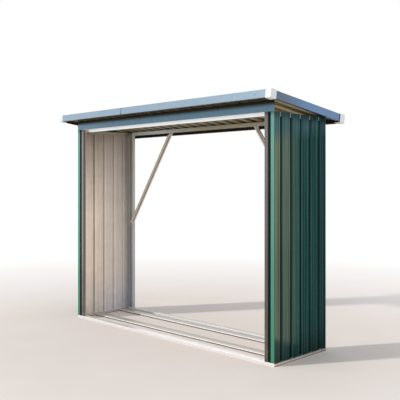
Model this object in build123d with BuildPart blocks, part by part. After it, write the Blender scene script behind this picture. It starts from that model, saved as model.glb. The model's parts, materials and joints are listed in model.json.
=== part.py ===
from build123d import *
from math import atan2, cos, degrees, hypot, radians, remainder, sin, tan
import os

# Lean-to log store of folded sheet steel: an open rail base, four rolled corner posts,
# two ribbed side walls, two back braces and a ribbed roof that falls to the back.
# The front faces -Y, and the origin is on the ground under the middle of the whole store.

# Body
body_width = 2020.0
body_depth = 535.0
eaves_height = 1515.0
fascia_height = 70.0
back_rise = 1.0

# Base frame
base_rail_width = 40.0
base_rail_height = 18.0
floor_rail_width = 70.0
floor_rail_height = 13.0
floor_rail_lip = 6.0
floor_rail_front_inset = 143.0
floor_rail_back_inset = 67.0
anchor_hole_radius = 5.0
anchor_hole_inset = 120.0

# Sheet gauges, and the inside radius of every fold that turns further than a crisp one
frame_gauge = 1.5
sheet_gauge = 1.0
trim_gauge = 1.2
bend_radius = 1.0
crisp_fold = 75.0

# Corner posts
wall_return = 35.0
post_groove_width = 16.0
post_groove_depth = 15.0
post_face_width = 26.0
post_depth = 27.0
post_lip_width = 17.0
post_side_leg = 27.0

# Top frame
top_rail_height = 25.0
top_rail_flange = 30.0
brace_width = 34.0
brace_flange = 12.0
brace_end_round = 8.0
brace_foot_height = 735.0
brace_top_run = 515.0

# Wall sheets
wall_groove_pitch = 99.0
wall_groove_count = 5
wall_groove_base = 32.0
wall_groove_floor = 18.0
wall_groove_depth = 10.0
bead_spacing = 17.0
beads_per_pan = 3
bead_width = 7.0
bead_depth = 1.2

# Roof sheets
side_overhang = 72.0
front_overhang = 124.0
back_overhang = 104.0
roof_rib_pitch = 100.0
roof_rib_base = 56.0
roof_rib_crest = 30.0
roof_rib_height = 28.0
roof_sheet_count = 3
lap_setback = 5.0
lap_share = 0.85

# Roof edge trims and corner caps
trim_hang = 20.0
back_trim_hang = 25.0
trim_top_flange = 22.0
trim_bottom_flange = 15.0
trim_seam = 789.0
trim_seam_gap = 6.0
cap_wall = 2.0
cap_front_leg = 42.0
cap_side_leg = 52.0
cap_round = 1.5

# Sizes that follow from the ones above
half_width = body_width / 2
half_depth = body_depth / 2
post_width = wall_return + post_groove_width + post_face_width
roof_half_width = half_width + side_overhang
roof_fall = fascia_height - back_rise
roof_angle = degrees(atan2(roof_fall, body_depth))
roof_slope = tan(radians(roof_angle))
roof_run = front_overhang + body_depth + back_overhang
roof_length = roof_run / cos(radians(roof_angle))
trim_top = roof_rib_height + sheet_gauge + trim_gauge
body_front = -(
    roof_run - 2 * front_overhang + (trim_top - trim_hang) * sin(radians(roof_angle))
) / 2
body_back = body_front + body_depth
body_middle = body_front + half_depth
brace_setback = post_depth + frame_gauge
top_rail_setback = brace_setback + frame_gauge
side_rail_inset = wall_groove_depth + sheet_gauge
sheet_setback = trim_gauge + bend_radius


def roof_underside(y):
    """Height of the underside of the roof sheets at a place along Y."""
    return eaves_height + fascia_height - (y - body_front) * roof_slope


def offset_path(path, gauge):
    """Points of a path moved to its left by a gauge, with mitred corners."""
    normals = []
    for (x0, y0), (x1, y1) in zip(path, path[1:]):
        run = hypot(x1 - x0, y1 - y0)
        normals.append(((y0 - y1) / run, (x1 - x0) / run))
    befores = [normals[0]] + normals
    afters = normals + [normals[-1]]
    moved = []
    for (x, y), (ax, ay), (bx, by) in zip(path, befores, afters):
        share = gauge / (1 + ax * bx + ay * by)
        moved.append((x + share * (ax + bx), y + share * (ay + by)))
    return moved


def fold(path, gauge):
    """Outline of a sheet folded along a path, with the sheet on its left."""
    radii = []
    for (x0, y0), (x1, y1), (x2, y2) in zip(path, path[1:], path[2:]):
        heading = atan2(y1 - y0, x1 - x0)
        turn = remainder(degrees(atan2(y2 - y1, x2 - x1) - heading), 360)
        if abs(turn) < crisp_fold:
            radii.append(0)
        else:
            radii.append(bend_radius + gauge if turn > 0 else bend_radius)
    FilletPolyline(*path, radius=radii)
    offset(amount=gauge, side=Side.LEFT)


def save(builder, name):
    """Label a finished piece and write its file."""
    builder.part.label = name
    export_step(builder.part, f"parts/{name}.step")


def save_pair(left, pattern):
    """Write a left piece, and the right one that mirrors it."""
    save(left, pattern.format("left"))
    with BuildPart() as right:
        mirror(left.part, about=Plane.YZ)
    save(right, pattern.format("right"))


os.makedirs("parts", exist_ok=True)


def channel_path(start, width, bottom, top):
    """Outer line of an inverted channel of the base, from a start across to its width."""
    return [(start + width, bottom), (start + width, top), (start, top), (start, bottom)]


# Base frame: front and back rails, mitred at the corners, with their anchor holes
for name, start, inward in (
    ("base_front_rail", body_front, 1),
    ("base_back_rail", body_back - base_rail_width, -1),
):
    corner_y = body_middle - inward * half_depth
    hole_y = start + base_rail_width / 2
    hole_x = half_width - anchor_hole_inset
    with BuildPart() as rail:
        with BuildSketch(Plane.YZ):
            with BuildLine():
                fold(channel_path(start, base_rail_width, 0, base_rail_height), frame_gauge)
            make_face()
        extrude(amount=half_width, both=True)
        with Locations((-hole_x, hole_y, base_rail_height), (hole_x, hole_y, base_rail_height)):
            Hole(anchor_hole_radius, depth=frame_gauge)
        for sign in (-1, 1):
            corner = (sign * half_width, corner_y, 0)
            split(bisect_by=Plane(corner, z_dir=(-sign, -inward, 0)), keep=Keep.TOP)
    save(rail, name)

# Base frame: side rails, mitred into the front and back ones
with BuildPart() as base_side:
    with BuildSketch(Plane.XZ.offset(-body_middle)):
        with BuildLine():
            fold(channel_path(-half_width, base_rail_width, 0, base_rail_height), frame_gauge)
        make_face()
    extrude(amount=half_depth, both=True)
    split(bisect_by=Plane((-half_width, body_front, 0), z_dir=(-1, 1, 0)), keep=Keep.TOP)
    split(bisect_by=Plane((-half_width, body_back, 0), z_dir=(-1, -1, 0)), keep=Keep.TOP)
save_pair(base_side, "base_{}_rail")

# Floor rails that carry the logs, hung between the side rails clear of the ground
floor_rail_bottom = floor_rail_height - floor_rail_lip
for name, start in (
    ("floor_front_rail", body_front + floor_rail_front_inset),
    ("floor_back_rail", body_back - floor_rail_back_inset - floor_rail_width),
):
    with BuildPart() as rail:
        with BuildSketch(Plane.YZ):
            with BuildLine():
                fold(
                    channel_path(start, floor_rail_width, floor_rail_bottom, floor_rail_height),
                    frame_gauge,
                )
            make_face()
        extrude(amount=half_width - base_rail_width, both=True)
    save(rail, name)

# Corner posts: across from the outer side, then back from the open face
post_path = [
    (sheet_gauge, post_side_leg),
    (sheet_gauge, sheet_gauge),
    (wall_return, sheet_gauge),
    (wall_return, post_groove_depth),
    (wall_return + post_groove_width, post_groove_depth),
    (wall_return + post_groove_width, 0),
    (post_width, 0),
    (post_width, post_depth),
    (post_width - post_lip_width, post_depth),
]
for end, inward in (("front", 1), ("back", -1)):
    corner = (-half_width, body_middle - inward * half_depth, base_rail_height)
    with BuildPart() as post:
        with BuildSketch(Plane(corner, x_dir=(1, 0, 0), z_dir=(0, 0, inward))):
            with BuildLine():
                fold(post_path, frame_gauge)
            make_face()
        extrude(amount=inward * (eaves_height - base_rail_height))
    save_pair(post, f"post_{end}_{{}}")


def wall_path():
    """Outer line of a wall sheet: corner returns, deep grooves and shallow beads."""
    first = (body_depth - (wall_groove_count - 1) * wall_groove_pitch) / 2
    reach = (beads_per_pan - 1) / 2 * bead_spacing
    margin = post_side_leg + bead_width
    path = [(wall_return, 0), (0, 0)]
    for number in range(wall_groove_count + 1):
        centre = first + number * wall_groove_pitch
        pan = centre - wall_groove_pitch / 2
        for bead in range(beads_per_pan):
            middle = pan - reach + bead * bead_spacing
            if margin < middle < body_depth - margin:
                path.append((0, middle - bead_width / 2))
                path.append((bead_depth, middle))
                path.append((0, middle + bead_width / 2))
        if number < wall_groove_count:
            path.append((0, centre - wall_groove_base / 2))
            path.append((wall_groove_depth, centre - wall_groove_floor / 2))
            path.append((wall_groove_depth, centre + wall_groove_floor / 2))
            path.append((0, centre + wall_groove_base / 2))
    return path + [(0, body_depth), (wall_return, body_depth)]


# Side walls: one folded sheet each, wrapped round both corners
with BuildPart() as wall:
    with BuildSketch(Plane((-half_width, body_front, base_rail_height), z_dir=(0, 0, 1))):
        with BuildLine():
            fold(wall_path()[::-1], sheet_gauge)
        make_face()
    extrude(amount=eaves_height - base_rail_height)
save_pair(wall, "wall_{}")

# Top frame: front and back angles between the posts, and the fascia over the front one
top_rail_bottom = eaves_height - top_rail_height
front_web = body_front + top_rail_setback
back_web = body_back - top_rail_setback
front_rail_path = [
    (front_web, top_rail_bottom),
    (front_web, eaves_height),
    (body_front, eaves_height),
]
back_rail_path = [
    (body_back, roof_underside(body_back)),
    (back_web, roof_underside(back_web)),
    (back_web, top_rail_bottom),
]
fascia_back = body_front + top_rail_flange
fascia_path = [
    (fascia_back, roof_underside(fascia_back)),
    (body_front, roof_underside(body_front)),
    (body_front, eaves_height),
    (fascia_back, eaves_height),
]
for name, path, gauge, half_length in (
    ("top_front_rail", front_rail_path, frame_gauge, half_width - post_width),
    ("top_back_rail", back_rail_path, frame_gauge, half_width - post_width),
    ("front_fascia", fascia_path, sheet_gauge, half_width),
):
    with BuildPart() as rail:
        with BuildSketch(Plane.YZ):
            with BuildLine():
                fold(path, gauge)
            make_face()
        extrude(amount=half_length, both=True)
    save(rail, name)

# Top frame: side angles against the grooves of the walls
side_web = -half_width + side_rail_inset
with BuildPart() as top_side:
    with BuildSketch(Plane.XZ.offset(-body_middle)):
        with BuildLine():
            fold(
                [
                    (side_web + top_rail_flange, eaves_height),
                    (side_web, eaves_height),
                    (side_web, top_rail_bottom),
                ],
                frame_gauge,
            )
        make_face()
    extrude(amount=half_depth - post_groove_depth - frame_gauge, both=True)
save_pair(top_side, "top_{}_rail")

# Back braces: a strip from the post's lip to behind the back rail, with its upper edge folded
brace_rise = eaves_height - brace_foot_height
brace_length = hypot(brace_top_run, brace_rise)
flange_length = brace_length - top_rail_height - brace_width - brace_end_round
foot_x = -half_width + post_width - post_lip_width / 2
brace_plane = Plane(
    origin=(foot_x, body_back - post_depth, brace_foot_height),
    x_dir=(brace_top_run, 0, brace_rise),
    z_dir=(0, -1, 0),
)
with BuildPart() as brace:
    with BuildSketch(brace_plane):
        with Locations((brace_length / 2, 0)):
            RectangleRounded(brace_length, brace_width, brace_end_round)
    extrude(amount=frame_gauge)
    with BuildSketch(brace_plane):
        with Locations((brace_end_round + flange_length / 2, (brace_width - frame_gauge) / 2)):
            Rectangle(flange_length, frame_gauge)
    extrude(amount=brace_flange)
    split(bisect_by=Plane.XY.offset(eaves_height - 2 * frame_gauge), keep=Keep.BOTTOM)
save_pair(brace, "brace_{}")

# Roof frame of reference: X across, Y down the slope, Z square to the sheets
roof_plane = Plane(
    origin=(0, body_front - front_overhang, roof_underside(body_front - front_overhang)),
    x_dir=(1, 0, 0),
    z_dir=(0, sin(radians(roof_angle)), cos(radians(roof_angle))),
)


def slope_section(distance):
    """Plane across the slope at a distance down it, facing up the slope."""
    return Plane(
        origin=roof_plane.from_local_coords((0, distance, 0)),
        x_dir=(1, 0, 0),
        z_dir=-roof_plane.y_dir,
    )


# Roof sheets: ribbed, each with its last rib lapped over the first of the next
sheet_half_width = roof_half_width - trim_gauge
rib_gaps = int((2 * sheet_half_width - roof_rib_base) // roof_rib_pitch)
first_rib = -rib_gaps * roof_rib_pitch / 2
rib_rise = roof_rib_height - sheet_gauge
lap_ribs = [round(rib_gaps * n / roof_sheet_count) for n in range(roof_sheet_count + 1)]


def rib(centre):
    """Underside of one rib, from the pan on its left to the pan on its right."""
    return [
        (centre - roof_rib_base / 2, 0),
        (centre - roof_rib_crest / 2, rib_rise),
        (centre + roof_rib_crest / 2, rib_rise),
        (centre + roof_rib_base / 2, 0),
    ]


def roof_sheet_path(number):
    """Underside of one roof sheet, from its left edge to its right edge."""
    first, last = lap_ribs[number], lap_ribs[number + 1]
    path = []
    for index in range(first, last + 1):
        path += rib(first_rib + index * roof_rib_pitch)
    if number == 0:
        path.insert(0, (-sheet_half_width, 0))
    else:
        path[0:2] = [(path[1][0] + lap_setback, rib_rise)]
    if number == roof_sheet_count - 1:
        path.append((sheet_half_width, 0))
        return path
    crest_left, crest_right, pan_right = path[-3], path[-2], path[-1]
    start = (crest_left[0] + lap_setback, rib_rise)
    above = offset_path([start, crest_right, pan_right], sheet_gauge)
    end_x = above[1][0] + lap_share * (above[2][0] - above[1][0])
    end_z = above[1][1] + lap_share * (above[2][1] - above[1][1])
    return path[:-3] + [(crest_left[0], rib_rise + sheet_gauge), above[1], (end_x, end_z)]


for number, side in enumerate(("left", "middle", "right")):
    with BuildPart() as sheet:
        with BuildSketch(slope_section(sheet_setback)):
            with BuildLine():
                fold(roof_sheet_path(number), sheet_gauge)
            make_face()
        extrude(amount=-(roof_length - 2 * sheet_setback))
    save(sheet, f"roof_sheet_{side}")


def trim_path(rest_height, hang):
    """Outer line of an edge trim: in from its open side, down the web and in again."""
    return [
        (trim_top_flange, rest_height + trim_gauge),
        (0, rest_height + trim_gauge),
        (0, -hang),
        (trim_bottom_flange, -hang),
    ]


# Front and back trims, each in two lengths with a seam to the left of the middle
lap_height = roof_rib_height + sheet_gauge
seam_x = trim_seam - roof_half_width
roof_ends = (("front", 0, 1, trim_hang), ("back", roof_length, -1, back_trim_hang))
for end, edge, inward, hang in roof_ends:
    for side, x_from, x_to in (
        ("left", -roof_half_width, seam_x - trim_seam_gap / 2),
        ("right", seam_x + trim_seam_gap / 2, roof_half_width),
    ):
        trim_plane = Plane(
            origin=roof_plane.from_local_coords((x_from, edge, 0)),
            x_dir=roof_plane.y_dir * inward,
            z_dir=(inward, 0, 0),
        )
        with BuildPart() as trim:
            with BuildSketch(trim_plane):
                with BuildLine():
                    fold(trim_path(lap_height, hang), trim_gauge)
                make_face()
            extrude(amount=inward * (x_to - x_from))
        save(trim, f"{end}_trim_{side}")

# Side trims between the flanges of the front and back trims
with BuildPart() as side_trim:
    with BuildSketch(slope_section(trim_top_flange)):
        with BuildLine():
            side_path = trim_path(roof_rib_height, trim_hang)
            fold([(u - roof_half_width, n) for u, n in side_path], trim_gauge)
        make_face()
    extrude(amount=-(roof_length - 2 * trim_top_flange))
save_pair(side_trim, "side_trim_{}")

# Corner caps: moulded boxes, open on their two inner sides, over the trim ends
for end, edge, inward, hang in roof_ends:
    bottom = Plane(
        origin=roof_plane.from_local_coords(
            (
                cap_front_leg / 2 - cap_wall - roof_half_width,
                edge + inward * (cap_side_leg / 2 - cap_wall),
                -hang - cap_wall,
            )
        ),
        x_dir=(1, 0, 0),
        z_dir=roof_plane.z_dir,
    )
    with BuildPart() as cap:
        with BuildSketch(bottom):
            RectangleRounded(cap_front_leg, cap_side_leg, cap_round)
        extrude(amount=trim_top + hang + 2 * cap_wall)
        with BuildSketch(bottom.offset(cap_wall)):
            with Locations((cap_wall, inward * cap_wall)):
                Rectangle(cap_front_leg, cap_side_leg)
        extrude(amount=trim_top + hang, mode=Mode.SUBTRACT)
    save_pair(cap, f"corner_cap_{end}_{{}}")
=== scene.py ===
import json
import math
import random

import bpy
from mathutils import Matrix, Vector


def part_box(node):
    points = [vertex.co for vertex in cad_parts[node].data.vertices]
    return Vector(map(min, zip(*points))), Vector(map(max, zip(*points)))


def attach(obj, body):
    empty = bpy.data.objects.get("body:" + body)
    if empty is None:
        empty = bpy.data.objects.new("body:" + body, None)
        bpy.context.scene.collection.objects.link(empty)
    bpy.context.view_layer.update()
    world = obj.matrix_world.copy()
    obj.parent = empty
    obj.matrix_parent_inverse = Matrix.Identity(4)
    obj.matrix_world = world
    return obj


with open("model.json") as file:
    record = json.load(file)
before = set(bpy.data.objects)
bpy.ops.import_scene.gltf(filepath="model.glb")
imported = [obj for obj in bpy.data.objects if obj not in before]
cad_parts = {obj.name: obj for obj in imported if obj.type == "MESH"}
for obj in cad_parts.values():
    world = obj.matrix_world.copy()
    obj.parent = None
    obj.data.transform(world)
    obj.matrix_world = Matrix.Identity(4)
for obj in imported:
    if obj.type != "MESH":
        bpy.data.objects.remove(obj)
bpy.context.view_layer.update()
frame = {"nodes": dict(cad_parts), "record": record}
nodes = frame["nodes"]

# Camera of the photograph, fitted to the corners of the base, walls and roof
camera_place = (3.3995, -3.2833, 1.0953)
camera_turn = 0.7831
camera_lens = 58.26
camera_sensor = 36.0
camera_rise = -0.0449

# Sun-like key light from the front left, its angles in degrees, and the world's fill
key_azimuth = -31.0
key_elevation = 29.6
key_strength = 1.75
key_angle = 3.0
key_colour = (1.0, 0.975, 0.94)
fill_strength = 0.66
fill_colour = (0.86, 0.93, 1.0)

# Floor, in metres: pale round the store, and fading to white further out
floor_colour = (0.97, 0.86, 0.79)
floor_reach = 60.0
floor_near = 1.4
floor_far = 4.8

# Heads of the fasteners, in metres
washer_radius = 0.0072
washer_gauge = 0.0014
screw_across = 0.008
screw_height = 0.0058
bolt_across = 0.013
bolt_height = 0.0075
bolt_washer_radius = 0.0095
rivet_radius = 0.0042
rivet_height = 0.0018

# Their edges, as shares of those sizes, and the facets round them
head_chamfer = 0.07
washer_rim = (0.92, 0.7)
rivet_hole = (0.28, 0.62)
washer_facets = 24
rivet_facets = 18
rivet_ring_angle = 18

# Rays that find the seats start this far out from a face, or at this height over the roof
ray_reach = 0.1
ray_height = 2.0

# Places of the fasteners, in metres from the edges of their sheets, with their rows and steps
roof_screw_inset = 0.015
wall_rivet_rows = 6
wall_rivet_margin = 0.09
wall_rivet_inset = 0.018
trim_rivet_step = 3
trim_rivet_inset = 0.015
fascia_rivet_rise = 0.008
post_rivet_inset = 0.013
post_rivet_rise = 0.020
brace_foot_bolt = (0.018, 0.020)
brace_top_bolt = (0.030, 0.035)
floor_screw_inset = 0.015

# Colours of the roof edge and the fascia: the trims' paint, paler at the left end with painted light;
# the trims' sides, grey in front with painted shade and blue further back with a painted sky
# reflection; and the fascia's copy, darker with painted shade
trim_blue = (0.285, 0.390, 0.490)
trim_left_lit_blue = (0.310, 0.415, 0.520)
trim_side_shade_grey = (0.140, 0.195, 0.265)
trim_side_sky_blue = (0.158, 0.305, 0.540)
fascia_shade_blue = (0.176, 0.335, 0.465)
fascia_left_shade_blue = (0.235, 0.410, 0.570)

# Part of a normal along an axis: past face_on the face looks that way, and below edge_on it doesn't
face_on = 0.5
edge_on = 0.05

# Crystals and grain of the metal, and the fine grain of small parts, in metres
spangle_size = 0.008
spangle_relief = 0.000002
grain_size = 0.004
grain_relief = 0.000006
fine_size = 0.0015
fine_relief = 0.00005

# Ribs of the roof, and grooves and creases of the walls, in metres; a crease is only a painted
# highlight line
roof_rib_pitch = 0.100
roof_rib_count = 22
wall_groove_pitch = 0.099
wall_groove_count = 5
wall_groove_base = 0.032
wall_groove_depth = 0.010
wall_crease_share = 0.66

# Tabs at the foot of the wall grooves, hoods at their top, whose bare pale front edge is a painted
# highlight, and plates on the hoods, in metres
tab_height = 0.010
tab_reach = 0.006
hood_height = 0.027
clip_margin = 0.001
clip_stand = 0.0014
clip_gauge = 0.0009
clip_leg = 0.006
plate_margin = 0.0055
plate_gauge = 0.0006

# Across a post from the side of the store, in metres: the wall's return with its hem, painted near
# black as shade, the groove, whose painted black shade starts under the return and stops short of the
# face, and the inner leg
post_return = 0.035
return_hem = 0.007
post_groove = 0.016
under_return = 0.002
short_of_face = 0.0003
post_width = 0.077
post_leg = 0.003

# Braces, in metres: their foot as (x, z), and the hem with its painted highlight, the line and the
# upper edge with their painted shade, along them
brace_foot = (0.9415, 0.735)
brace_run = 0.515
brace_top = 1.515
brace_width = 0.034
brace_hem = 0.013
brace_line = 0.006
brace_edge = 0.0002

# Hem of the top front rail, and the heights over the fascia's foot where it turns dark with painted
# shade
front_rail_hem = 0.0042
fascia_shade_from = 0.031
fascia_shade_to = 0.053

# Dark pads under the floor rails, and along the inner foot of the base's back rail, standing in for
# shadow lines, in metres
pad_width = 0.006
pad_inset = 0.003
pad_gauge = 0.002
pad_height = 0.005

# Black seals beside the back caps, standing in for the shade of the gap there, and strips behind the
# seams of the trims, coated near black as painted shade, in metres
seal_width = 0.009
seal_gauge = 0.0007
trim_gauge = 0.0012
strip_width = 0.026
strip_gauge = 0.0008
strip_foot = 0.003
strip_head = 0.004
strip_aside = 0.01

# Places of the frame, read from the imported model
wall_low, wall_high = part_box("wall_right")
base_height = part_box("base_right_rail")[1].z
fascia_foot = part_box("front_fascia")[0].z
half_width = wall_high.x
body_front, body_back = wall_low.y, wall_high.y
body_middle = (body_front + body_back) / 2
roof_half_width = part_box("side_trim_right")[1].x
groove_start = body_middle - (wall_groove_count - 1) / 2 * wall_groove_pitch
rib_start = -(roof_rib_count - 1) * roof_rib_pitch / 2

# Names of what repeats, with the sign of each side and the way in from each end
both_sides = (("left", -1), ("right", 1))
both_ends = (("front", 1), ("back", -1))
roof_sheets = ("roof_sheet_left", "roof_sheet_middle", "roof_sheet_right")
floor_rails = ("floor_front_rail", "floor_back_rail")


class Paint:
    """A node material, with short ways to add nodes and link them."""

    def __init__(self, name, **constants):
        self.data = bpy.data.materials.new(name)
        self.data.use_nodes = True
        self.tree = self.data.node_tree
        self.tree.nodes.clear()
        self.shader = self.node("ShaderNodeBsdfPrincipled")
        self.output = self.node("ShaderNodeOutputMaterial")
        self.link(self.shader.outputs["BSDF"], self.output.inputs["Surface"])
        for key, value in constants.items():
            self.shader.inputs[key.replace("_", " ")].default_value = value

    def node(self, kind, **values):
        """A new node of a kind, with its settings."""
        made = self.tree.nodes.new(kind)
        for key, value in values.items():
            setattr(made, key, value)
        return made

    def link(self, source, target):
        """An output wired to an input."""
        self.tree.links.new(source, target)

    def put(self, socket, value):
        """A number, a colour or another node's output, put into a socket."""
        if isinstance(value, bpy.types.NodeSocket):
            self.link(value, socket)
        elif isinstance(value, tuple):
            socket.default_value = (*value, 1.0)
        else:
            socket.default_value = value

    def stretched(self, stretch):
        """Place on the object, with each axis scaled."""
        mapping = self.node("ShaderNodeMapping")
        mapping.inputs["Scale"].default_value = stretch
        self.link(self.node("ShaderNodeTexCoord").outputs["Object"], mapping.inputs["Vector"])
        return mapping.outputs["Vector"]

    def noise(self, size, detail=4, stretch=(1, 1, 1)):
        """Noise about 0.5, with patches of about a size in metres."""
        made = self.node("ShaderNodeTexNoise")
        made.inputs["Scale"].default_value = 1 / size
        made.inputs["Detail"].default_value = detail
        self.link(self.stretched(stretch), made.inputs["Vector"])
        return made.outputs["Fac"]

    def cells(self, size):
        """A random grey for each crystal of about a size in metres."""
        made = self.node("ShaderNodeTexVoronoi")
        made.inputs["Scale"].default_value = 1 / size
        self.link(self.stretched((1, 1, 1)), made.inputs["Vector"])
        grey = self.node("ShaderNodeRGBToBW")
        self.link(made.outputs["Color"], grey.inputs["Color"])
        return grey.outputs["Val"]

    def calc(self, operation, first, second=0.0, clamp=False):
        """Arithmetic on one or two values."""
        made = self.node("ShaderNodeMath", operation=operation, use_clamp=clamp)
        self.put(made.inputs[0], first)
        self.put(made.inputs[1], second)
        return made.outputs["Value"]

    def product(self, first, *others):
        """Several values multiplied."""
        for other in others:
            first = self.calc("MULTIPLY", first, other)
        return first

    def spread(self, value, low, high, to_low=0.0, to_high=1.0):
        """A value's range taken to another, and held at its ends."""
        made = self.node("ShaderNodeMapRange", clamp=True)
        made.inputs["From Min"].default_value = low
        made.inputs["From Max"].default_value = high
        made.inputs["To Min"].default_value = to_low
        made.inputs["To Max"].default_value = to_high
        self.link(value, made.inputs["Value"])
        return made.outputs["Result"]

    def mix(self, share, first, second, blend="MIX"):
        """One colour taken to another by a share."""
        made = self.node("ShaderNodeMix", data_type="RGBA", blend_type=blend)
        self.put(made.inputs[0], share)
        self.put(made.inputs[6], first)
        self.put(made.inputs[7], second)
        return made.outputs[2]

    def shaded(self, colour, value):
        """A colour times a grey value."""
        grey = self.node("ShaderNodeCombineColor")
        for channel in ("Red", "Green", "Blue"):
            self.link(value, grey.inputs[channel])
        return self.mix(1.0, colour, grey.outputs["Color"], "MULTIPLY")

    def parts(self, vector):
        """The X, Y and Z of a vector."""
        made = self.node("ShaderNodeSeparateXYZ")
        self.link(vector, made.inputs["Vector"])
        return made.outputs["X"], made.outputs["Y"], made.outputs["Z"]

    def surface(self):
        """Position and true normal, as X, Y and Z each."""
        made = self.node("ShaderNodeNewGeometry")
        return self.parts(made.outputs["Position"]), self.parts(made.outputs["True Normal"])

    def bump(self, height, distance):
        """Relief of a height from 0 to 1, over a distance in metres."""
        made = self.node("ShaderNodeBump")
        made.inputs["Distance"].default_value = distance
        self.link(height, made.inputs["Height"])
        self.link(made.outputs["Normal"], self.shader.inputs["Normal"])

    def finish(self, colour, roughness):
        """The material, once its colour and roughness are put in."""
        self.put(self.shader.inputs["Base Color"], colour)
        self.put(self.shader.inputs["Roughness"], roughness)
        return self.data


def weathered(paint, colour, depth=0.10, dust=(0.36, 0.32, 0.27), dust_share=0.30):
    """A coat with faint patches, rain streaks down it, and dust near the ground."""
    patches = paint.spread(paint.noise(0.22, 3), 0.3, 0.7, 1 - depth, 1 + depth / 2)
    streaks = paint.spread(paint.noise(0.035, 2, (1, 1, 0.06)), 0.35, 0.7, 1 - depth / 2, 1.0)
    made = paint.shaded(paint.shaded(colour, patches), streaks)
    place, _ = paint.surface()
    near_ground = paint.spread(place[2], 0.0, 0.30, dust_share, 0.0)
    speckle = paint.spread(paint.noise(0.05, 5), 0.35, 0.65)
    return paint.mix(paint.product(near_ground, speckle), made, dust)


def orange_peel(paint, size=0.004, distance=0.00006, wave=0.0012):
    """Fine texture of stoved paint, over the slow waviness of thin sheet."""
    peel = paint.product(paint.noise(size, 2), distance / wave)
    slow = paint.noise(0.30, 1, (1, 1, 0.5))
    paint.bump(paint.calc("ADD", slow, peel), wave)


def spangle(paint, to_low=0.0, to_high=1.0):
    """Crystals of the zinc, each a value between two numbers."""
    return paint.spread(paint.cells(spangle_size), 0.2, 0.8, to_low, to_high)


def rain_lines(paint, to_low, to_high):
    """Thin lines down a wall, as values between two numbers."""
    return paint.spread(paint.noise(0.012, 2, (1, 1, 0.01)), 0.35, 0.68, to_low, to_high)


def inward(paint, place):
    """Distance in from the outer face of the nearer wall."""
    return paint.calc("SUBTRACT", half_width, paint.calc("ABSOLUTE", place[0]))


def outward(paint, place, normal):
    """How far a face looks away from the middle of the store, in X and in Y."""
    from_middle = paint.calc("SUBTRACT", place[1], body_middle)
    out_x = paint.product(paint.calc("SIGN", place[0]), normal[0])
    out_y = paint.product(paint.calc("SIGN", from_middle), normal[1])
    return out_x, out_y


def wall_greens(paint, place, end_face):
    """Green of the sides, paler in front with painted light and bluer under the eaves with painted
    shade and sky reflection, and a lighter, sunlit copy of the green for the ends.
    """
    # Painted light: the front panels are paler, less so near the foot
    painted_pale_front = paint.spread(place[1], body_front + 0.09, body_front + 0.26, 1.0, 0.0)
    slanted = paint.calc("ADD", place[2], paint.product(place[1], 0.4))
    near_foot = paint.spread(slanted, 0.045, 0.085, 0.75, 0.0)
    painted_pale_front = paint.calc("SUBTRACT", painted_pale_front, near_foot, clamp=True)
    # Painted shade and sky reflection: a bluer band under the eaves
    lowered = paint.calc("SUBTRACT", place[2], paint.product(place[1], 0.12))
    painted_eave_shade = paint.spread(lowered, wall_high.z - 0.165, wall_high.z - 0.085)
    deep_green = paint.mix(painted_eave_shade, (0.003, 0.064, 0.057), (0.054, 0.152, 0.178))
    pale_green = paint.mix(painted_eave_shade, (0.190, 0.242, 0.160), (0.088, 0.182, 0.185))
    side_green = paint.mix(painted_pale_front, deep_green, pale_green)

    # Painted light: the ends get a far lighter, sunlit copy of the green, darker low down
    height = paint.spread(place[2], 0.0, wall_high.z)
    sunlit_end_green = paint.mix(height, (0.060, 0.250, 0.160), (0.170, 0.385, 0.330))
    # Painted shade: the hem at the return's edge is near black
    hem = paint.calc("GREATER_THAN", inward(paint, place), post_return - return_hem)
    sunlit_end_green = paint.mix(hem, sunlit_end_green, (0.008, 0.022, 0.020))
    return paint.mix(end_face, side_green, sunlit_end_green)


def wall_painted_shade_and_streaks(paint, place):
    """Painted shade of the sides: dark in the grooves, rearward, under the roof, lower down and at the
    foot, with painted reflection streaks down them.
    """
    depth = inward(paint, place)
    # Painted shade: dark in the grooves, less so further back
    groove_shade = paint.spread(depth, 0.75 * wall_groove_depth, 0.97 * wall_groove_depth, 1.0, 0.04)
    groove_shade_limit = paint.spread(place[1], body_middle - 0.09, body_middle + 0.05, 0.04, 0.40)
    groove_shade = paint.calc("MAXIMUM", groove_shade, groove_shade_limit)
    # Painted reflection: light and dark streaks down the sides
    streaks = rain_lines(paint, 0.85, 1.5)
    # Painted shade: darker rearward, under the roof, lower down and at the foot
    rearward = paint.spread(place[1], body_middle - 0.04, body_back, 1.0, 0.68)
    under_roof = paint.spread(place[2], wall_high.z - 0.050, wall_high.z - 0.012, 1.0, 0.55)
    tall = paint.spread(place[2], 0.0, wall_high.z, 0.86, 0.94)
    foot = paint.spread(place[2], 0.04, 0.17, 0.60, 1.0)
    return paint.product(groove_shade, streaks, rearward, under_roof, tall, foot)


def wall_crease_highlights(paint, place):
    """Painted highlight along the line rolled along each panel: a faintly darker line in front, and a
    bright one further back.
    """
    turns = paint.calc("DIVIDE", paint.calc("SUBTRACT", place[1], groove_start), wall_groove_pitch)
    aside = paint.calc("SUBTRACT", paint.calc("FRACT", turns), wall_crease_share)
    line = paint.spread(paint.calc("ABSOLUTE", aside), 0.010, 0.025, 1.0, 0.0)
    gain = paint.spread(place[1], body_front + 0.16, body_middle + 0.06, -0.16, 1.4)
    return paint.calc("ADD", paint.product(line, gain), 1.0)


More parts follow.
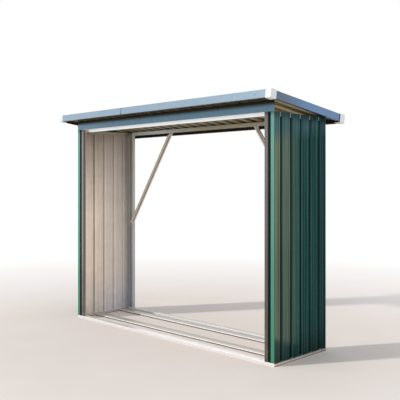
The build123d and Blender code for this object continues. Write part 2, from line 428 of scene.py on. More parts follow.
def wall_back_coat(paint, place, normal, forward):
    """Pale back coat of a wall, with a painted bluish reflection low down and rearward, and painted
    shade high up and on its folds.
    """
    mottle = paint.spread(paint.noise(0.06, 5), 0.35, 0.65)
    back = paint.mix(mottle, (0.955, 0.820, 0.695), (0.99, 0.875, 0.752))
    # Painted reflection: bluer low down and rearward
    low = paint.spread(place[2], 0.03, 0.34, 1.0, 0.0)
    painted_sky_tint = paint.product(low, paint.spread(forward, 0.0, 1.0, 0.8, 0.3))
    painted_sky_tint = paint.calc("ADD", painted_sky_tint, paint.spread(forward, 0.0, 0.6, 0.25, 0.0), clamp=True)
    back = paint.mix(painted_sky_tint, back, (0.89, 0.875, 0.925))
    # Painted shade: darker high up under the roof and on the folds' flanks
    painted_shade_high = paint.spread(place[2], 0.85, wall_high.z, 1.0, 0.57)
    fold_shade = paint.spread(paint.calc("ABSOLUTE", normal[1]), 0.2, 0.6, 1.0, 0.72)
    back = paint.shaded(back, paint.product(painted_shade_high, fold_shade, rain_lines(paint, 0.92, 1.0)))
    return weathered(paint, back, 0.06)


def green_wall():
    """Green gloss outside, pale back coat inside, told apart by which way a face looks."""
    paint = Paint("green_sheet", Specular_IOR_Level=0.03)
    place, normal = paint.surface()
    out_x, out_y = outward(paint, place, normal)
    edgeways = paint.calc("LESS_THAN", paint.calc("ABSOLUTE", out_x), edge_on)
    end_face = paint.product(edgeways, paint.calc("GREATER_THAN", out_y, face_on))
    side_face = paint.calc("GREATER_THAN", out_x, edge_on)
    outside = paint.calc("MAXIMUM", end_face, side_face)

    # Painted highlight: groove flanks facing the front get a lighter green
    painted_lit_flank = paint.product(side_face, paint.calc("LESS_THAN", normal[1], -0.3))
    green = paint.mix(painted_lit_flank, wall_greens(paint, place, end_face), (0.070, 0.150, 0.145))
    # Painted shade, reflection streaks and crease highlights on the sides
    shade = paint.product(wall_painted_shade_and_streaks(paint, place), wall_crease_highlights(paint, place))
    shade = paint.calc("MAXIMUM", shade, end_face)
    green = weathered(paint, paint.shaded(green, shade), 0.06, dust_share=0.02)

    forward = paint.spread(place[1], body_front + 0.04, body_front + 0.42, 1.0, 0.0)
    back = wall_back_coat(paint, place, normal, forward)
    inside = paint.calc("SUBTRACT", 1.0, outside)
    sheen = paint.product(inside, paint.spread(forward, 0.0, 1.0, 0.15, 0.95))
    paint.put(paint.shader.inputs["Metallic"], sheen)
    grain = paint.spread(paint.noise(0.02, 3), 0.3, 0.7, 0.20, 0.30)
    roughness = paint.calc("ADD", grain, paint.spread(outside, 0.0, 1.0, 0.16, 0.0))
    orange_peel(paint)
    return paint.finish(paint.mix(outside, back, green), roughness)


def roof_sheet():
    """Blue-grey coat on the sky side, brown-grey back coat below, darker along its edges."""
    paint = Paint("roof_sheet", Specular_IOR_Level=0.35)
    place, normal = paint.surface()
    sky_side = paint.calc("GREATER_THAN", normal[2], 0.0)
    top = weathered(paint, (0.21, 0.27, 0.34))
    mottle = paint.spread(paint.noise(0.08, 5), 0.35, 0.65)
    under = paint.mix(mottle, (0.230, 0.182, 0.070), (0.290, 0.232, 0.096))
    from_middle = paint.calc("ABSOLUTE", place[0])
    past_wall = paint.calc("GREATER_THAN", from_middle, half_width)
    front_shade = paint.spread(place[1], body_front - 0.015, body_front + 0.010, 0.22, 1.0)
    front_shade = paint.calc("MAXIMUM", front_shade, past_wall)
    back_shade = paint.spread(place[1], body_back - 0.16, body_back - 0.02, 1.0, 0.15)
    edge_shade = paint.spread(from_middle, roof_half_width - 0.030, roof_half_width - 0.012, 1.0, 0.4)
    outer_shade = paint.spread(past_wall, 0.0, 1.0, 1.0, 0.79)
    shade = paint.product(front_shade, back_shade, edge_shade, outer_shade)
    colour = paint.mix(sky_side, paint.shaded(under, shade), top)
    orange_peel(paint)
    return paint.finish(colour, paint.spread(paint.noise(0.03, 3), 0.3, 0.7, 0.36, 0.48))


def trim_paint(name, shade, left_paler_colour, shade_from=None, shade_to=None):
    """Semi-gloss blue-grey of a folded edge, near black on its back and under it with painted shade,
    paler at its left end with painted light, grey turning blue along its sides with painted shade and
    sky reflection, and near black between two heights with painted shade.
    """
    paint = Paint(name, Specular_IOR_Level=0.3, Metallic=0.12)
    place, normal = paint.surface()
    out_x, out_y = outward(paint, place, normal)
    # Painted shade: faces on the back and underneath turn near black
    inner = paint.calc("LESS_THAN", paint.calc("MINIMUM", out_x, out_y), -face_on)
    under = paint.calc("LESS_THAN", normal[2], -face_on)
    hidden_shade = paint.calc("MAXIMUM", inner, under)
    # Painted shade and sky reflection: side faces are grey in front and blue further back
    backward = paint.spread(place[1], body_front - 0.02, body_middle - 0.04)
    side = paint.mix(backward, trim_side_shade_grey, trim_side_sky_blue)
    # Painted light: paler towards the left end
    leftward = paint.spread(place[0], -0.85, -0.40, 1.0, 0.0)
    blue = paint.mix(leftward, shade, left_paler_colour)
    blue = paint.mix(paint.calc("GREATER_THAN", out_x, face_on), blue, side)
    blue = weathered(paint, blue, 0.04)
    # Painted shade: near black between two heights, under the roof's edge
    if shade_from is not None:
        blue = paint.mix(paint.spread(place[2], shade_from, shade_to), blue, (0.024, 0.020, 0.011))
    colour = paint.mix(hidden_shade, blue, (0.030, 0.026, 0.018))
    orange_peel(paint, wave=0.0004)
    return paint.finish(colour, paint.spread(paint.noise(0.03, 3), 0.3, 0.7, 0.26, 0.34))


def post_coat():
    """Dull grey coat of the rolled posts: browner low down, paler and bluer on the left posts with
    painted light, near black in the groove and dark at the inner leg's front edge with painted shade,
    and pale behind, bluer low down with a painted reflection.
    """
    paint = Paint("frame_grey", Specular_IOR_Level=0.35, Metallic=0.1)
    place, normal = paint.surface()
    low = paint.spread(place[2], 0.1, 1.2, 1.0, 0.0)
    # Painted light: the left posts are paler and bluer than the right ones
    left_low = paint.spread(place[2], 0.05, 0.55, 1.0, 0.0)
    right_coat = paint.mix(low, (0.172, 0.158, 0.160), (0.082, 0.068, 0.052))
    left_coat = paint.mix(left_low, (0.235, 0.247, 0.250), (0.105, 0.100, 0.083))
    coat = paint.mix(paint.spread(place[0], -0.5, 0.5), left_coat, right_coat)
    behind = paint.calc("GREATER_THAN", place[1], body_middle)
    inside = paint.product(behind, paint.calc("LESS_THAN", normal[1], face_on))
    # Pale behind, bluer low down with a painted reflection
    rear_coat = paint.mix(low, (0.60, 0.585, 0.54), (0.635, 0.65, 0.675))
    coat = paint.mix(inside, coat, rear_coat)

    across = inward(paint, place)
    edgeways = paint.calc("GREATER_THAN", paint.calc("ABSOLUTE", normal[0]), face_on)
    innermost = paint.calc("GREATER_THAN", across, post_width - post_leg)
    front_leg = paint.calc("SUBTRACT", paint.product(edgeways, innermost), behind, clamp=True)
    # Painted shade: the inner leg of a front post is dark at its front edge
    deep = paint.spread(place[1], body_front + 0.012, body_front + 0.024)
    leg_shade_coat = paint.mix(deep, (0.180, 0.160, 0.138), (0.58, 0.52, 0.46))
    coat = weathered(paint, paint.mix(front_leg, coat, leg_shade_coat), 0.10)

    # Painted shade: near black in the groove, from under the wall's return to the post's face
    groove_from = post_return - under_return
    groove_to = post_return + post_groove - short_of_face
    past_return = paint.calc("GREATER_THAN", across, groove_from)
    past_groove = paint.calc("GREATER_THAN", across, groove_to)
    groove = paint.calc("SUBTRACT", past_return, past_groove)
    rear_groove_shade = paint.mix(low, (0.200, 0.165, 0.120), (0.155, 0.200, 0.270))
    colour = paint.mix(groove, coat, paint.mix(behind, (0.012, 0.014, 0.015), rear_groove_shade))
    orange_peel(paint, 0.003, 0.00005, 0.0004)
    return paint.finish(colour, paint.spread(paint.noise(0.015, 4), 0.3, 0.7, 0.42, 0.56))


def galvanised(name, dull, bright, top_shade, metallic, hem_height=0.0):
    """Zinc with its spangle, greyer on its upper faces, and brown below a height."""
    paint = Paint(name, Metallic=metallic, Specular_IOR_Level=0.5)
    place, normal = paint.surface()
    crystals = spangle(paint)
    grain = paint.spread(paint.noise(grain_size, 3), 0.35, 0.65)
    # Upward faces are greyer
    darker_tone = paint.spread(normal[2], 0.2, 0.8, 1.0, top_shade)
    base = paint.shaded(paint.mix(crystals, dull, bright), darker_tone)
    base = paint.mix(paint.calc("LESS_THAN", place[2], hem_height), base, (0.13, 0.11, 0.07))
    colour = weathered(paint, base, 0.04, dust_share=0.08)
    roughness = paint.spread(crystals, 0.0, 1.0, 0.28, 0.31)
    roughness = paint.calc("ADD", roughness, paint.product(grain, 0.03))
    paint.bump(paint.calc("ADD", crystals, grain), spangle_relief)
    return paint.finish(colour, roughness)


def shaded_zinc(name):
    """Zinc of a rail under the roof: olive with painted shade, and pale at the left end with a painted
    reflection.
    """
    paint = Paint(name, Metallic=0.35, Specular_IOR_Level=0.5)
    place, _ = paint.surface()
    crystals = spangle(paint)
    base = paint.mix(crystals, (0.62, 0.595, 0.46), (0.70, 0.67, 0.53))
    # Painted reflection: paler towards the left end
    painted_reflection_pale = paint.spread(place[0], -0.55, -0.10, 1.0, 0.0)
    colour = weathered(paint, paint.mix(painted_reflection_pale, base, (0.89, 1.0, 1.0)), 0.04)
    paint.bump(crystals, spangle_relief)
    return paint.finish(colour, paint.spread(crystals, 0.0, 1.0, 0.28, 0.31))


def base_zinc(name, top, face, line, foot):
    """Zinc of a base rail, with painted shade as dark lines at its folds, and a slightly darker foot.
    """
    paint = Paint(name, Specular_IOR_Level=0.5)
    place, normal = paint.surface()
    upward = paint.calc("GREATER_THAN", normal[2], face_on)
    paint.put(paint.shader.inputs["Metallic"], paint.spread(upward, 0.0, 1.0, 0.1, 0.55))
    height = paint.calc("DIVIDE", place[2], base_height)
    # Painted shade: dark lines across the face where its folds cast shadow
    base = paint.mix(paint.spread(height, 0.20, 0.25), foot, line)
    base = paint.mix(paint.spread(height, 0.33, 0.38), base, face)
    base = paint.mix(paint.spread(height, 0.58, 0.62), base, line)
    base = paint.mix(paint.spread(height, 0.70, 0.74), base, face)
    base = paint.mix(upward, base, top)
    colour = weathered(paint, base, 0.03, dust_share=0.05)
    paint.bump(paint.noise(grain_size, 3), grain_relief)
    return paint.finish(colour, spangle(paint, 0.30, 0.34))


def side_zinc(name):
    """Zinc of the side rails: pale along the middle with a painted reflection that fades rearward, and
    brown below and dark under the wall with painted shade.
    """
    paint = Paint(name, Metallic=0.15, Specular_IOR_Level=0.4)
    place, normal = paint.surface()
    upward = paint.calc("GREATER_THAN", normal[2], face_on)
    height = paint.calc("DIVIDE", place[2], base_height)
    # Painted reflection: pale in front, fading rearward
    backward = paint.spread(place[1], body_front + 0.10, body_back)
    painted_reflection_pale = paint.mix(backward, (0.98, 0.84, 0.74), (0.38, 0.39, 0.42))
    brown = paint.mix(backward, (0.30, 0.19, 0.14), (0.16, 0.13, 0.12))
    # Painted shade: brown low down and near black under the wall
    base = paint.mix(paint.spread(height, 0.27, 0.35), brown, painted_reflection_pale)
    base = paint.mix(paint.spread(height, 0.77, 0.85), base, (0.10, 0.10, 0.075))
    base = paint.mix(upward, base, (0.80, 0.72, 0.66))
    colour = weathered(paint, base, 0.03, dust_share=0.03)
    paint.bump(paint.noise(grain_size, 3), grain_relief)
    return paint.finish(colour, spangle(paint, 0.30, 0.34))


def floor_zinc(name, rail):
    """Zinc of a rail on the floor: mottled grey on top, and pale on the lip at its front and on the top
    beside it, a painted highlight.
    """
    paint = Paint(name, Metallic=0.15, Specular_IOR_Level=0.4)
    place, normal = paint.surface()
    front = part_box(rail)[0].y
    # Painted highlight: the front-facing lip and the top beside it are pale
    lip = paint.calc("LESS_THAN", normal[1], -0.2)
    near_lip = paint.spread(place[1], front + 0.010, front + 0.045, 1.0, 0.0)
    mottle = paint.spread(paint.noise(0.012, 4, (0.25, 1, 1)), 0.3, 0.7)
    mottled_top = paint.mix(mottle, (0.49, 0.455, 0.395), (0.56, 0.525, 0.46))
    top = paint.mix(near_lip, mottled_top, (0.74, 0.69, 0.65))
    colour = weathered(paint, paint.mix(lip, top, (0.98, 0.96, 0.94)), 0.04, dust_share=0.05)
    paint.bump(paint.noise(grain_size, 3), grain_relief)
    return paint.finish(colour, paint.spread(mottle, 0.0, 1.0, 0.34, 0.46))


def brace_zinc():
    """Zinc of the braces: a bright hem along the lower edge with a painted highlight, and painted shade
    in the line above it and along the upper edge.
    """
    paint = Paint("brace_zinc", Specular_IOR_Level=0.4)
    place, _ = paint.surface()
    length = math.hypot(brace_run, brace_top - brace_foot[1])
    along = (-brace_run / length, (brace_top - brace_foot[1]) / length)
    down = (-along[1], along[0])
    level = paint.product(paint.calc("ABSOLUTE", place[0]), down[0])
    lower = paint.calc("ADD", level, paint.product(place[2], down[1]))
    centre = brace_foot[0] * down[0] + brace_foot[1] * down[1]
    hem_from = centre + brace_width / 2 - brace_hem
    # Painted highlight on the hem, painted shade in the line above it and along the upper edge
    hem = paint.calc("GREATER_THAN", lower, hem_from)
    line = paint.calc("GREATER_THAN", lower, hem_from - brace_line)
    upper_edge = paint.calc("LESS_THAN", lower, centre - brace_width / 2 + brace_edge)
    base = paint.mix(line, (0.83, 0.79, 0.73), (0.050, 0.042, 0.030))
    base = paint.mix(hem, base, (0.98, 0.87, 0.68))
    base = paint.mix(upper_edge, base, (0.060, 0.045, 0.032))
    paint.put(paint.shader.inputs["Metallic"], paint.spread(hem, 0.0, 1.0, 0.3, 0.1))
    paint.bump(paint.noise(grain_size, 3), 0.00001)
    return paint.finish(weathered(paint, base, 0.06), spangle(paint, 0.30, 0.36))


def white_plastic():
    """Moulded white plastic, with a fine grain, painted whiter on its sideways faces to lift their
    shade.
    """
    paint = Paint("white_cap", Specular_IOR_Level=0.45, Subsurface_Weight=0.04)
    patches = paint.spread(paint.noise(0.03, 3), 0.3, 0.7)
    _, normal = paint.surface()
    # Painted light: the sideways faces, which sit in shade, are made whiter
    brightened_sides = paint.calc("GREATER_THAN", paint.calc("ABSOLUTE", normal[0]), face_on)
    front = paint.mix(patches, (0.82, 0.82, 0.82), (0.86, 0.86, 0.855))
    colour = paint.mix(brightened_sides, front, (0.985, 0.995, 1.0))
    paint.bump(paint.noise(0.0012, 2), 0.00008)
    return paint.finish(colour, paint.spread(paint.noise(0.01, 2), 0.3, 0.7, 0.38, 0.50))


def zinc_fastener():
    """Bright zinc of a bolt."""
    paint = Paint("zinc_fastener", Metallic=0.7)
    tint = paint.spread(paint.noise(0.006, 3), 0.35, 0.65)
    colour = paint.mix(tint, (0.70, 0.71, 0.70), (0.84, 0.84, 0.82))
    paint.bump(paint.noise(fine_size, 2), fine_relief)
    return paint.finish(colour, paint.spread(tint, 0.0, 1.0, 0.28, 0.42))


def coated(name, shade, level=0.45):
    """Coat of one shade on a small part, a little worn, with its own specular level."""
    paint = Paint(name, Specular_IOR_Level=level)
    tint = paint.spread(paint.noise(0.004, 3), 0.35, 0.65)
    darker_tone = tuple(0.8 * part for part in shade)
    paint.bump(paint.noise(fine_size, 2), fine_relief)
    return paint.finish(paint.mix(tint, darker_tone, shade), paint.spread(tint, 0.0, 1.0, 0.30, 0.42))


def pad_shade_coat():
    """Brown-black rubber of the pads, darker towards the left with painted shade."""
    paint = Paint("pad_shadow_rubber", Specular_IOR_Level=0.2)
    place, _ = paint.surface()
    lighter_rightward = paint.spread(place[0], -0.6, 0.1)
    base = paint.mix(lighter_rightward, (0.022, 0.017, 0.014), (0.085, 0.058, 0.040))
    colour = weathered(paint, base, 0.10, dust_share=0.05)
    paint.bump(paint.noise(fine_size, 2), fine_relief)
    return paint.finish(colour, paint.spread(paint.noise(0.004, 3), 0.35, 0.65, 0.40, 0.55))


# Finishes of the record's slots
finishes = {
    "galvanised": galvanised(
        "galvanised",
        (0.93, 0.980, 1.0),
        (0.955, 0.990, 1.0),
        top_shade=0.92,
        metallic=0.78,
        hem_height=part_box("top_front_rail")[0].z + front_rail_hem,
    ),
    "frame_grey": post_coat(),
    "green_sheet": green_wall(),
    "roof_sheet": roof_sheet(),
    "blue_grey_trim": trim_paint("blue_grey_trim", trim_blue, trim_left_lit_blue),
    "white_cap": white_plastic(),
}

# Finishes of nodes that differ from their slot's
front_zinc = base_zinc(
    "galvanised_base",
    top=(0.98, 0.97, 0.96),
    face=(0.95, 0.94, 0.93),
    line=(0.62, 0.60, 0.59),
    foot=(0.86, 0.83, 0.81),
)
# Painted shade: a darker, olive copy of the zinc for the side top rails under the roof
shaded_dull_zinc = galvanised(
    "galvanised_shaded", (0.40, 0.37, 0.28), (0.47, 0.44, 0.35), top_shade=1.0, metallic=0.35
)
side_rail_zinc = side_zinc("galvanised_side")
# Painted shade: the fascia takes a darker copy of the trims' paint
fascia_shade_paint = trim_paint(
    "fascia_shade_paint",
    fascia_shade_blue,
    fascia_left_shade_blue,
    fascia_foot + fascia_shade_from,
    fascia_foot + fascia_shade_to,
)
hemmed_zinc = brace_zinc()
own_finishes = {
    "floor_front_rail": floor_zinc("floor_front_zinc", "floor_front_rail"),
    "floor_back_rail": floor_zinc("floor_back_zinc", "floor_back_rail"),
    "base_back_rail": floor_zinc("base_back_zinc", "base_back_rail"),
    "base_front_rail": front_zinc,
    "base_left_rail": side_rail_zinc,
    "base_right_rail": side_rail_zinc,
    "brace_left": hemmed_zinc,
    "brace_right": hemmed_zinc,
    "top_left_rail": shaded_dull_zinc,
    "top_right_rail": shaded_dull_zinc,
    "top_back_rail": shaded_zinc("galvanised_back"),
    "front_fascia": fascia_shade_paint,
}

# Finishes of the small pieces
zinc = zinc_fastener()
green_coat = coated("green_coat", (0.022, 0.095, 0.088), 0.1)
# Painted highlight: the hoods' pale front edge, left bare by their plates
hood_highlight_coat = coated("hood_highlight_coat", (0.42, 0.50, 0.53), 0.3)
tab_coat = coated("tab_coat", (0.085, 0.150, 0.145), 0.1)
# Painted light: the rivets on the returns take the lighter, sunlit copy of the green
sunlit_rivet_green = coated("sunlit_rivet_green", (0.150, 0.360, 0.300), 0.2)
blue_coat = coated("blue_coat", trim_blue)
grey_coat = coated("grey_coat", (0.20, 0.19, 0.20))
# Black rubber of the seals, which stand in for shade beside the back caps
seal_shade_rubber = coated("black_rubber", (0.018, 0.018, 0.018))
# Beige of the floor screws, matching the side rails' painted reflection
side_rail_coat = coated("side_rail_coat", (0.68, 0.58, 0.51), 0.2)
# Painted shade: the strips behind the seams are near black
seam_shade_coat = coated("seam_shade_coat", (0.025, 0.032, 0.042), 0.2)
# Dark pads that stand in for shadow lines under the rails
pad_shadow_rubber = pad_shade_coat()


def dress_frame():
    """Every node of the frame gets its own finish, or that of its slot in the record."""
    for subpart in frame["record"]["subparts"]:
        name = subpart["node"]
        mesh = nodes[name].data
        mesh.materials.clear()
        mesh.materials.append(own_finishes.get(name, finishes[subpart["material_slot"]]))


def lathe(profile, sides):
    """Closed solid of revolution about Z: points and faces, from rings of (radius, height)."""
    points, faces = [], []
    for radius, height in profile:
        for step in range(sides):
            turn = 2 * math.pi * step / sides
            points.append(Vector((radius * math.cos(turn), radius * math.sin(turn), height)))
    for ring in range(len(profile) - 1):
        low, high = ring * sides, (ring + 1) * sides
        for step in range(sides):
            after = (step + 1) % sides
            faces.append((low + step, low + after, high + after, high + step))
    faces.append(tuple(range(sides))[::-1])
    faces.append(tuple(range((len(profile) - 1) * sides, len(profile) * sides)))
    return points, faces


def prism(profile, z_low, z_high):
    """Closed solid: an outline of (x, y) drawn up between two heights."""
    count = len(profile)
    points = [Vector((x, y, z)) for z in (z_low, z_high) for x, y in profile]
    faces = [(i, (i + 1) % count, count + (i + 1) % count, count + i) for i in range(count)]
    faces += [tuple(range(count))[::-1], tuple(range(count, 2 * count))]
    turning = sum(x0 * y1 - x1 * y0 for (x0, y0), (x1, y1) in zip(profile, profile[1:] + profile[:1]))
    if turning < 0:
        faces = [face[::-1] for face in faces]
    return points, faces


def slab(corners, thickness):
    """Closed plate: four corners in a ring, and the same four moved by its thickness."""
    points = list(corners) + [corner + thickness for corner in corners]
    faces = [(i, (i + 1) % 4, 4 + (i + 1) % 4, 4 + i) for i in range(4)]
    faces += [(3, 2, 1, 0), (4, 5, 6, 7)]
    turning = (corners[1] - corners[0]).cross(corners[2] - corners[1]).dot(thickness)
    if turning < 0:
        faces = [face[::-1] for face in faces]
    return points, faces


def joined(shapes):
    """Several shapes of points and faces as one."""
    points, faces = [], []
    for more_points, more_faces in shapes:
        start = len(points)
        points += more_points
        faces += [tuple(start + index for index in face) for face in more_faces]
    return points, faces


def piece(name, shape, material):
    """A mesh of points and faces that rides on the store."""
    points, faces = shape
    mesh = bpy.data.meshes.new(name)
    mesh.from_pydata(points, [], faces)
    mesh.materials.append(material)
    made = bpy.data.objects.new(name, mesh)
    bpy.context.scene.collection.objects.link(made)
    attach(made, "root")


def scatter(name, shape, seats, material, seed):
    """One mesh of a shape set on every seat, each turned at random about its own axis."""
    draw = random.Random(seed)
    points, faces = shape
    copies = []
    for place, normal in seats:
        spin = Matrix.Rotation(draw.uniform(0, 2 * math.pi), 4, "Z")
        turn = Vector((0, 0, 1)).rotation_difference(normal).to_matrix().to_4x4()
        matrix = Matrix.Translation(place) @ turn @ spin
        copies.append(([matrix @ point for point in points], faces))
    piece(name, joined(copies), material)


def seated(node, start, toward):
    """Place and normal of a node's surface where a ray from a start meets it."""
    hit, place, normal, _ = nodes[node].ray_cast(Vector(start), Vector(toward).normalized())
    if not hit:
        raise ValueError(f"no surface of {node} in the way of a ray from {start}")
    return place, normal


def end_y(node, toward, inset):
    """Y of a node's outer edge at one end of the store, moved in by an inset."""
    low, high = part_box(node)
    outer = low if toward > 0 else high
    return outer.y + toward * inset


def hex_head(across, height, washer):
    """Hexagon head with a chamfered top, on its round washer."""
    corner = across / math.sqrt(3)
    chamfer = across * head_chamfer
    rim = (washer * washer_rim[0], washer_gauge)
    flange = [(washer, 0.0), (washer, washer_gauge * washer_rim[1]), rim]
    head = [(corner, washer_gauge), (corner, height - chamfer), (corner - chamfer, height)]
    return joined([lathe(flange, washer_facets), lathe(head, 6)])


def rivet_head():
    """Low dome of a blind rivet, with the hole left by its pin."""
    profile = []
    for angle in range(0, 90, rivet_ring_angle):
        turn = math.radians(angle)
        profile.append((rivet_radius * math.cos(turn), rivet_height * math.sin(turn)))
    profile.append((rivet_radius * rivet_hole[0], rivet_height * rivet_hole[1]))
    return lathe(profile, rivet_facets)


screw = hex_head(screw_across, screw_height, washer_radius)
bolt = hex_head(bolt_across, bolt_height, bolt_washer_radius)
rivet = rivet_head()


def roof_screws():
    """Screws through the rib crests, over the fascia and over the back rail."""
    seats = []
    for index in range(roof_rib_count):
        x = rib_start + index * roof_rib_pitch
        sheet = next(name for name in roof_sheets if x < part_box(name)[1].x)
        for y in (body_front + roof_screw_inset, body_back - roof_screw_inset):
            seats.append(seated(sheet, (x, y, ray_height), (0, 0, -1)))
    scatter("roof_screws", screw, seats, blue_coat, seed=11)


def corner_rivets():
    """Rivets down the returns of the walls, into the posts."""
    lowest = wall_low.z + wall_rivet_margin
    pitch = (wall_high.z - wall_low.z - 2 * wall_rivet_margin) / (wall_rivet_rows - 1)
    seats = []
    for side, sign in both_sides:
        wall = f"wall_{side}"
        x = sign * (half_width - wall_rivet_inset)
        for _, toward in both_ends:
            y = end_y(wall, toward, -ray_reach)
            for row in range(wall_rivet_rows):
                seats.append(seated(wall, (x, y, lowest + row * pitch), (0, toward, 0)))
    scatter("corner_rivets", rivet, seats, sunlit_rivet_green, seed=12)


def trim_rivets():
    """Rivets through the top flanges of the roof edge, and along the foot of the fascia."""
    seats = []
    for index in range(1, roof_rib_count - 1):
        x = rib_start + index * roof_rib_pitch
        if index % trim_rivet_step == 1:
            half = "left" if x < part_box("front_trim_left")[1].x else "right"
            for end, toward in both_ends:
                trim = f"{end}_trim_{half}"
                start = (x, end_y(trim, toward, trim_rivet_inset), ray_height)
                seats.append(seated(trim, start, (0, 0, -1)))
        start = (x, end_y("front_fascia", 1, -ray_reach), fascia_foot + fascia_rivet_rise)
        seats.append(seated("front_fascia", start, (0, 1, 0)))
    scatter("trim_rivets", rivet, seats, blue_coat, seed=13)


def post_rivets():
    """Rivets through the faces of the posts, into the rails at their ends."""
    seats = []
    for side, sign in both_sides:
        for end, toward in both_ends:
            post = f"post_{end}_{side}"
            low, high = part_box(post)
            inner_x = high.x if sign < 0 else low.x
            x = inner_x + sign * post_rivet_inset
            y = end_y(post, toward, -ray_reach)
            for z in (low.z + post_rivet_rise, high.z - post_rivet_inset):
                seats.append(seated(post, (x, y, z), (0, toward, 0)))
    scatter("post_rivets", rivet, seats, grey_coat, seed=16)


def brace_bolts():
    """Bolts at both ends of the braces."""
    seats = []
    for side, sign in both_sides:
        brace = f"brace_{side}"
        low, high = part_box(brace)
        foot_x, top_x = (low.x, high.x) if sign < 0 else (high.x, low.x)
        foot = (foot_x - sign * brace_foot_bolt[0], body_middle, low.z + brace_foot_bolt[1])
        top = (top_x + sign * brace_top_bolt[0], body_middle, high.z - brace_top_bolt[1])
        seats += [seated(brace, start, (0, 1, 0)) for start in (foot, top)]
    scatter("brace_bolts", bolt, seats, zinc, seed=14)


def floor_screws():
    """Screws through the side rails, into the ends of the floor rails."""
    seats = []
    for side, sign in both_sides:
        for rail in floor_rails:
            low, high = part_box(rail)
            for y in (low.y + floor_screw_inset, high.y - floor_screw_inset):
                start = (sign * (half_width + ray_reach), y, base_height / 2)
                seats.append(seated(f"base_{side}_rail", start, (-sign, 0, 0)))
    scatter("floor_screws", screw, seats, side_rail_coat, seed=15)


def rectangle(low_x, low_y, high_x, high_y):
    """Outline of (x, y) round a rectangle."""
    return [(low_x, low_y), (high_x, low_y), (high_x, high_y), (low_x, high_y)]


def on_side(sign, profile):
    """An outline of (x, y) as it lies on one side of the store."""
    return [(sign * x, y) for x, y in profile]


def clip_profile(y, reach):
    """Section of a folded clip over the mouth of a wall groove, a leg bent in at each side."""
    out = half_width + clip_stand
    return [
        (out - clip_leg, y - reach),
        (out, y - reach),
        (out, y + reach),
        (out - clip_leg, y + reach),
        (out - clip_leg, y + reach - clip_gauge),
        (out - clip_gauge, y + reach - clip_gauge),
        (out - clip_gauge, y - reach + clip_gauge),
        (out - clip_leg, y - reach + clip_gauge),
    ]


def plate_profile(y, reach):
    """Section of the coated plate on a hood, over all of its face but the front edge."""
    face = half_width + clip_stand
    return rectangle(face, y - reach + plate_margin, face + plate_gauge, y + reach + plate_gauge)


def groove_ends():
    """Tabs at the foot of the wall grooves, and hoods with their plates at the top, each hood's bare
    pale front edge a painted highlight.
    """
    tab_span = (wall_low.z + clip_margin, wall_low.z + tab_height)
    hood_span = (wall_high.z - hood_height, wall_high.z - clip_margin)
    hood_reach = wall_groove_base / 2
    tabs, hoods, plates = [], [], []
    for _, sign in both_sides:
        for index in range(wall_groove_count):
            y = groove_start + index * wall_groove_pitch
            tabs.append(prism(on_side(sign, clip_profile(y, tab_reach)), *tab_span))
            hoods.append(prism(on_side(sign, clip_profile(y, hood_reach)), *hood_span))
            plates.append(prism(on_side(sign, plate_profile(y, hood_reach)), *hood_span))
    piece("groove_clips", joined(tabs), tab_coat)
    piece("groove_hoods", joined(hoods), hood_highlight_coat)
    piece("groove_plates", joined(plates), green_coat)


def rail_shadow_pads():
    """Dark pads along both edges of the floor rails, and the inner foot of the base's back rail,
    standing in for the shadow lines there.
    """
    pads = []
    for rail in floor_rails:
        low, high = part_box(rail)
        for y in (low.y + pad_inset, high.y - pad_inset - pad_width):
            pads.append(prism(rectangle(low.x, y, high.x, y + pad_width), 0.0, low.z))
    low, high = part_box("base_back_rail")
    pads.append(prism(rectangle(low.x, low.y - pad_gauge, high.x, low.y), 0.0, pad_height))
    piece("rail_shadow_pads", joined(pads), pad_shadow_rubber)


def roof_slope():
    """Angle of the roof, from the heights of a middle rib's crest over the walls' two ends."""
    x = rib_start + (roof_rib_count // 2 - 1) * roof_rib_pitch
    ends = [(x, y, ray_height) for y in (body_front, body_back)]
    front, back = [seated("roof_sheet_middle", start, (0, 0, -1))[0] for start in ends]
    return math.atan((front.z - back.z) / (body_back - body_front))


def cap_shade_seal(side, sign, slope):
    """Thin black seal on a side trim, along the edge of the back corner cap, standing in for the shade
    of the gap there.
    """
    low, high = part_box(f"side_trim_{side}")
    rise, run = high.z - low.z, high.y - low.y
    tall = (rise * math.cos(slope) - run * math.sin(slope)) / math.cos(2 * slope)
    along = Vector((0, math.cos(slope), -math.sin(slope)))
    up = Vector((0, math.sin(slope), math.cos(slope)))
    reach = (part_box(f"corner_cap_back_{side}")[0].y - low.y) / math.cos(slope)
    foot = Vector((sign * roof_half_width, low.y, high.z - tall * math.cos(slope)))
    near, far = foot + along * (reach - seal_width), foot + along * reach
    return slab([near, far, far + up * tall, near + up * tall], Vector((sign * seal_gauge, 0, 0)))


def cap_shade_seals():
    """Black seals beside the back corner caps, on both side trims, standing in for shade."""
    slope = roof_slope()
    seals = [cap_shade_seal(side, sign, slope) for side, sign in both_sides]
    piece("cap_shade_seals", joined(seals), seal_shade_rubber)


def seam_strip(end, toward):
    """Strip behind the seam of the two trims at one end of the roof, coated near black as painted shade
    in the gap.
    """
    trim = f"{end}_trim_left"
    low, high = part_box(trim)
    seam_x = (high.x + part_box(f"{end}_trim_right")[0].x) / 2
    start_y = end_y(trim, toward, -ray_reach)
    corners = []
    for z, reaches in ((low.z + strip_foot, (-1, 1)), (high.z - strip_head, (1, -1))):
        place, normal = seated(trim, (high.x - strip_aside, start_y, z), (0, toward, 0))
        for reach in reaches:
            corners.append(Vector((seam_x + reach * strip_width / 2, place.y, z)) - normal * trim_gauge)
    return slab(corners, -normal * strip_gauge)


def seam_strips():
    """Strips behind the seams of the trims, at both ends of the roof."""
    strips = [seam_strip(end, toward) for end, toward in both_ends]
    piece("seam_strips", joined(strips), seam_shade_coat)


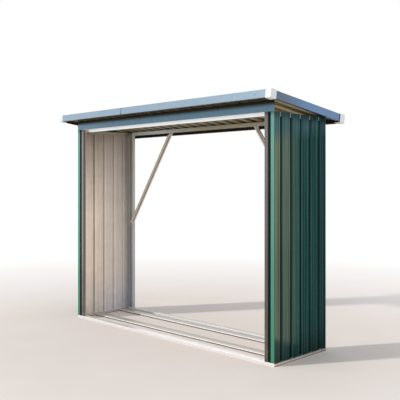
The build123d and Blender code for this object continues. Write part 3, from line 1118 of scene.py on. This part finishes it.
def studio_floor():
    """Pale floor with the store's shadow, white further out."""
    mesh = bpy.data.meshes.new("studio_floor")
    corners = rectangle(-floor_reach, -floor_reach, floor_reach, floor_reach)
    mesh.from_pydata([(x, y, 0) for x, y in corners], [], [(0, 1, 2, 3)])
    floor = bpy.data.objects.new("studio_floor", mesh)
    bpy.context.scene.collection.objects.link(floor)

    paint = Paint("studio_floor")
    place, _ = paint.surface()
    squares = [paint.calc("POWER", part, 2) for part in place[:2]]
    away = paint.calc("SQRT", paint.calc("ADD", *squares))
    seen = paint.node("ShaderNodeLightPath").outputs["Is Camera Ray"]
    white = paint.product(seen, paint.spread(away, floor_near, floor_far))
    matte = paint.node("ShaderNodeBsdfDiffuse")
    grain = paint.spread(paint.noise(0.4, 4), 0.3, 0.7, 0.97, 1.0)
    paint.link(paint.shaded(floor_colour, grain), matte.inputs["Color"])
    glow = paint.node("ShaderNodeEmission")
    glow.inputs["Color"].default_value = (1, 1, 1, 1)
    both = paint.node("ShaderNodeMixShader")
    paint.link(white, both.inputs["Fac"])
    paint.link(matte.outputs["BSDF"], both.inputs[1])
    paint.link(glow.outputs["Emission"], both.inputs[2])
    paint.link(both.outputs["Shader"], paint.output.inputs["Surface"])
    mesh.materials.append(paint.data)


def studio_world():
    """Even sky that fills the shade, and a white background."""
    world = bpy.data.worlds.new("studio_world")
    bpy.context.scene.world = world
    world.use_nodes = True
    tree = world.node_tree
    tree.nodes.clear()
    fill = tree.nodes.new("ShaderNodeBackground")
    fill.inputs["Color"].default_value = (*fill_colour, 1.0)
    fill.inputs["Strength"].default_value = fill_strength
    white = tree.nodes.new("ShaderNodeBackground")
    white.inputs["Color"].default_value = (1, 1, 1, 1)
    path = tree.nodes.new("ShaderNodeLightPath")
    both = tree.nodes.new("ShaderNodeMixShader")
    most = tree.nodes.new("ShaderNodeMath")
    most.operation = "MAXIMUM"
    tree.links.new(path.outputs["Is Camera Ray"], most.inputs[0])
    tree.links.new(path.outputs["Is Glossy Ray"], most.inputs[1])
    tree.links.new(most.outputs["Value"], both.inputs["Fac"])
    tree.links.new(fill.outputs["Background"], both.inputs[1])
    tree.links.new(white.outputs["Background"], both.inputs[2])
    output = tree.nodes.new("ShaderNodeOutputWorld")
    tree.links.new(both.outputs["Shader"], output.inputs["Surface"])


def key_light():
    """Soft-edged sun from the front left."""
    lamp = bpy.data.lights.new("key_light", "SUN")
    lamp.energy = key_strength
    lamp.color = key_colour
    lamp.angle = math.radians(key_angle)
    sun = bpy.data.objects.new("key_light", lamp)
    turn, rise = math.radians(key_azimuth), math.radians(key_elevation)
    source = Vector(
        (math.sin(turn) * math.cos(rise), -math.cos(turn) * math.cos(rise), math.sin(rise))
    )
    sun.rotation_euler = source.to_track_quat("Z", "Y").to_euler()
    bpy.context.scene.collection.objects.link(sun)


def photo_camera():
    """Level camera at the photograph's place, turned towards the store."""
    lens = bpy.data.cameras.new("camera")
    lens.lens = camera_lens
    lens.sensor_width = camera_sensor
    lens.shift_y = camera_rise
    camera = bpy.data.objects.new("camera", lens)
    camera.location = camera_place
    camera.rotation_euler = (math.radians(90), 0, camera_turn)
    bpy.context.scene.collection.objects.link(camera)
    bpy.context.scene.camera = camera


dress_frame()
roof_screws()
corner_rivets()
trim_rivets()
post_rivets()
brace_bolts()
floor_screws()
groove_ends()
rail_shadow_pads()
cap_shade_seals()
seam_strips()

studio_floor()
studio_world()
key_light()
photo_camera()
bpy.context.scene.view_settings.view_transform = "Standard"
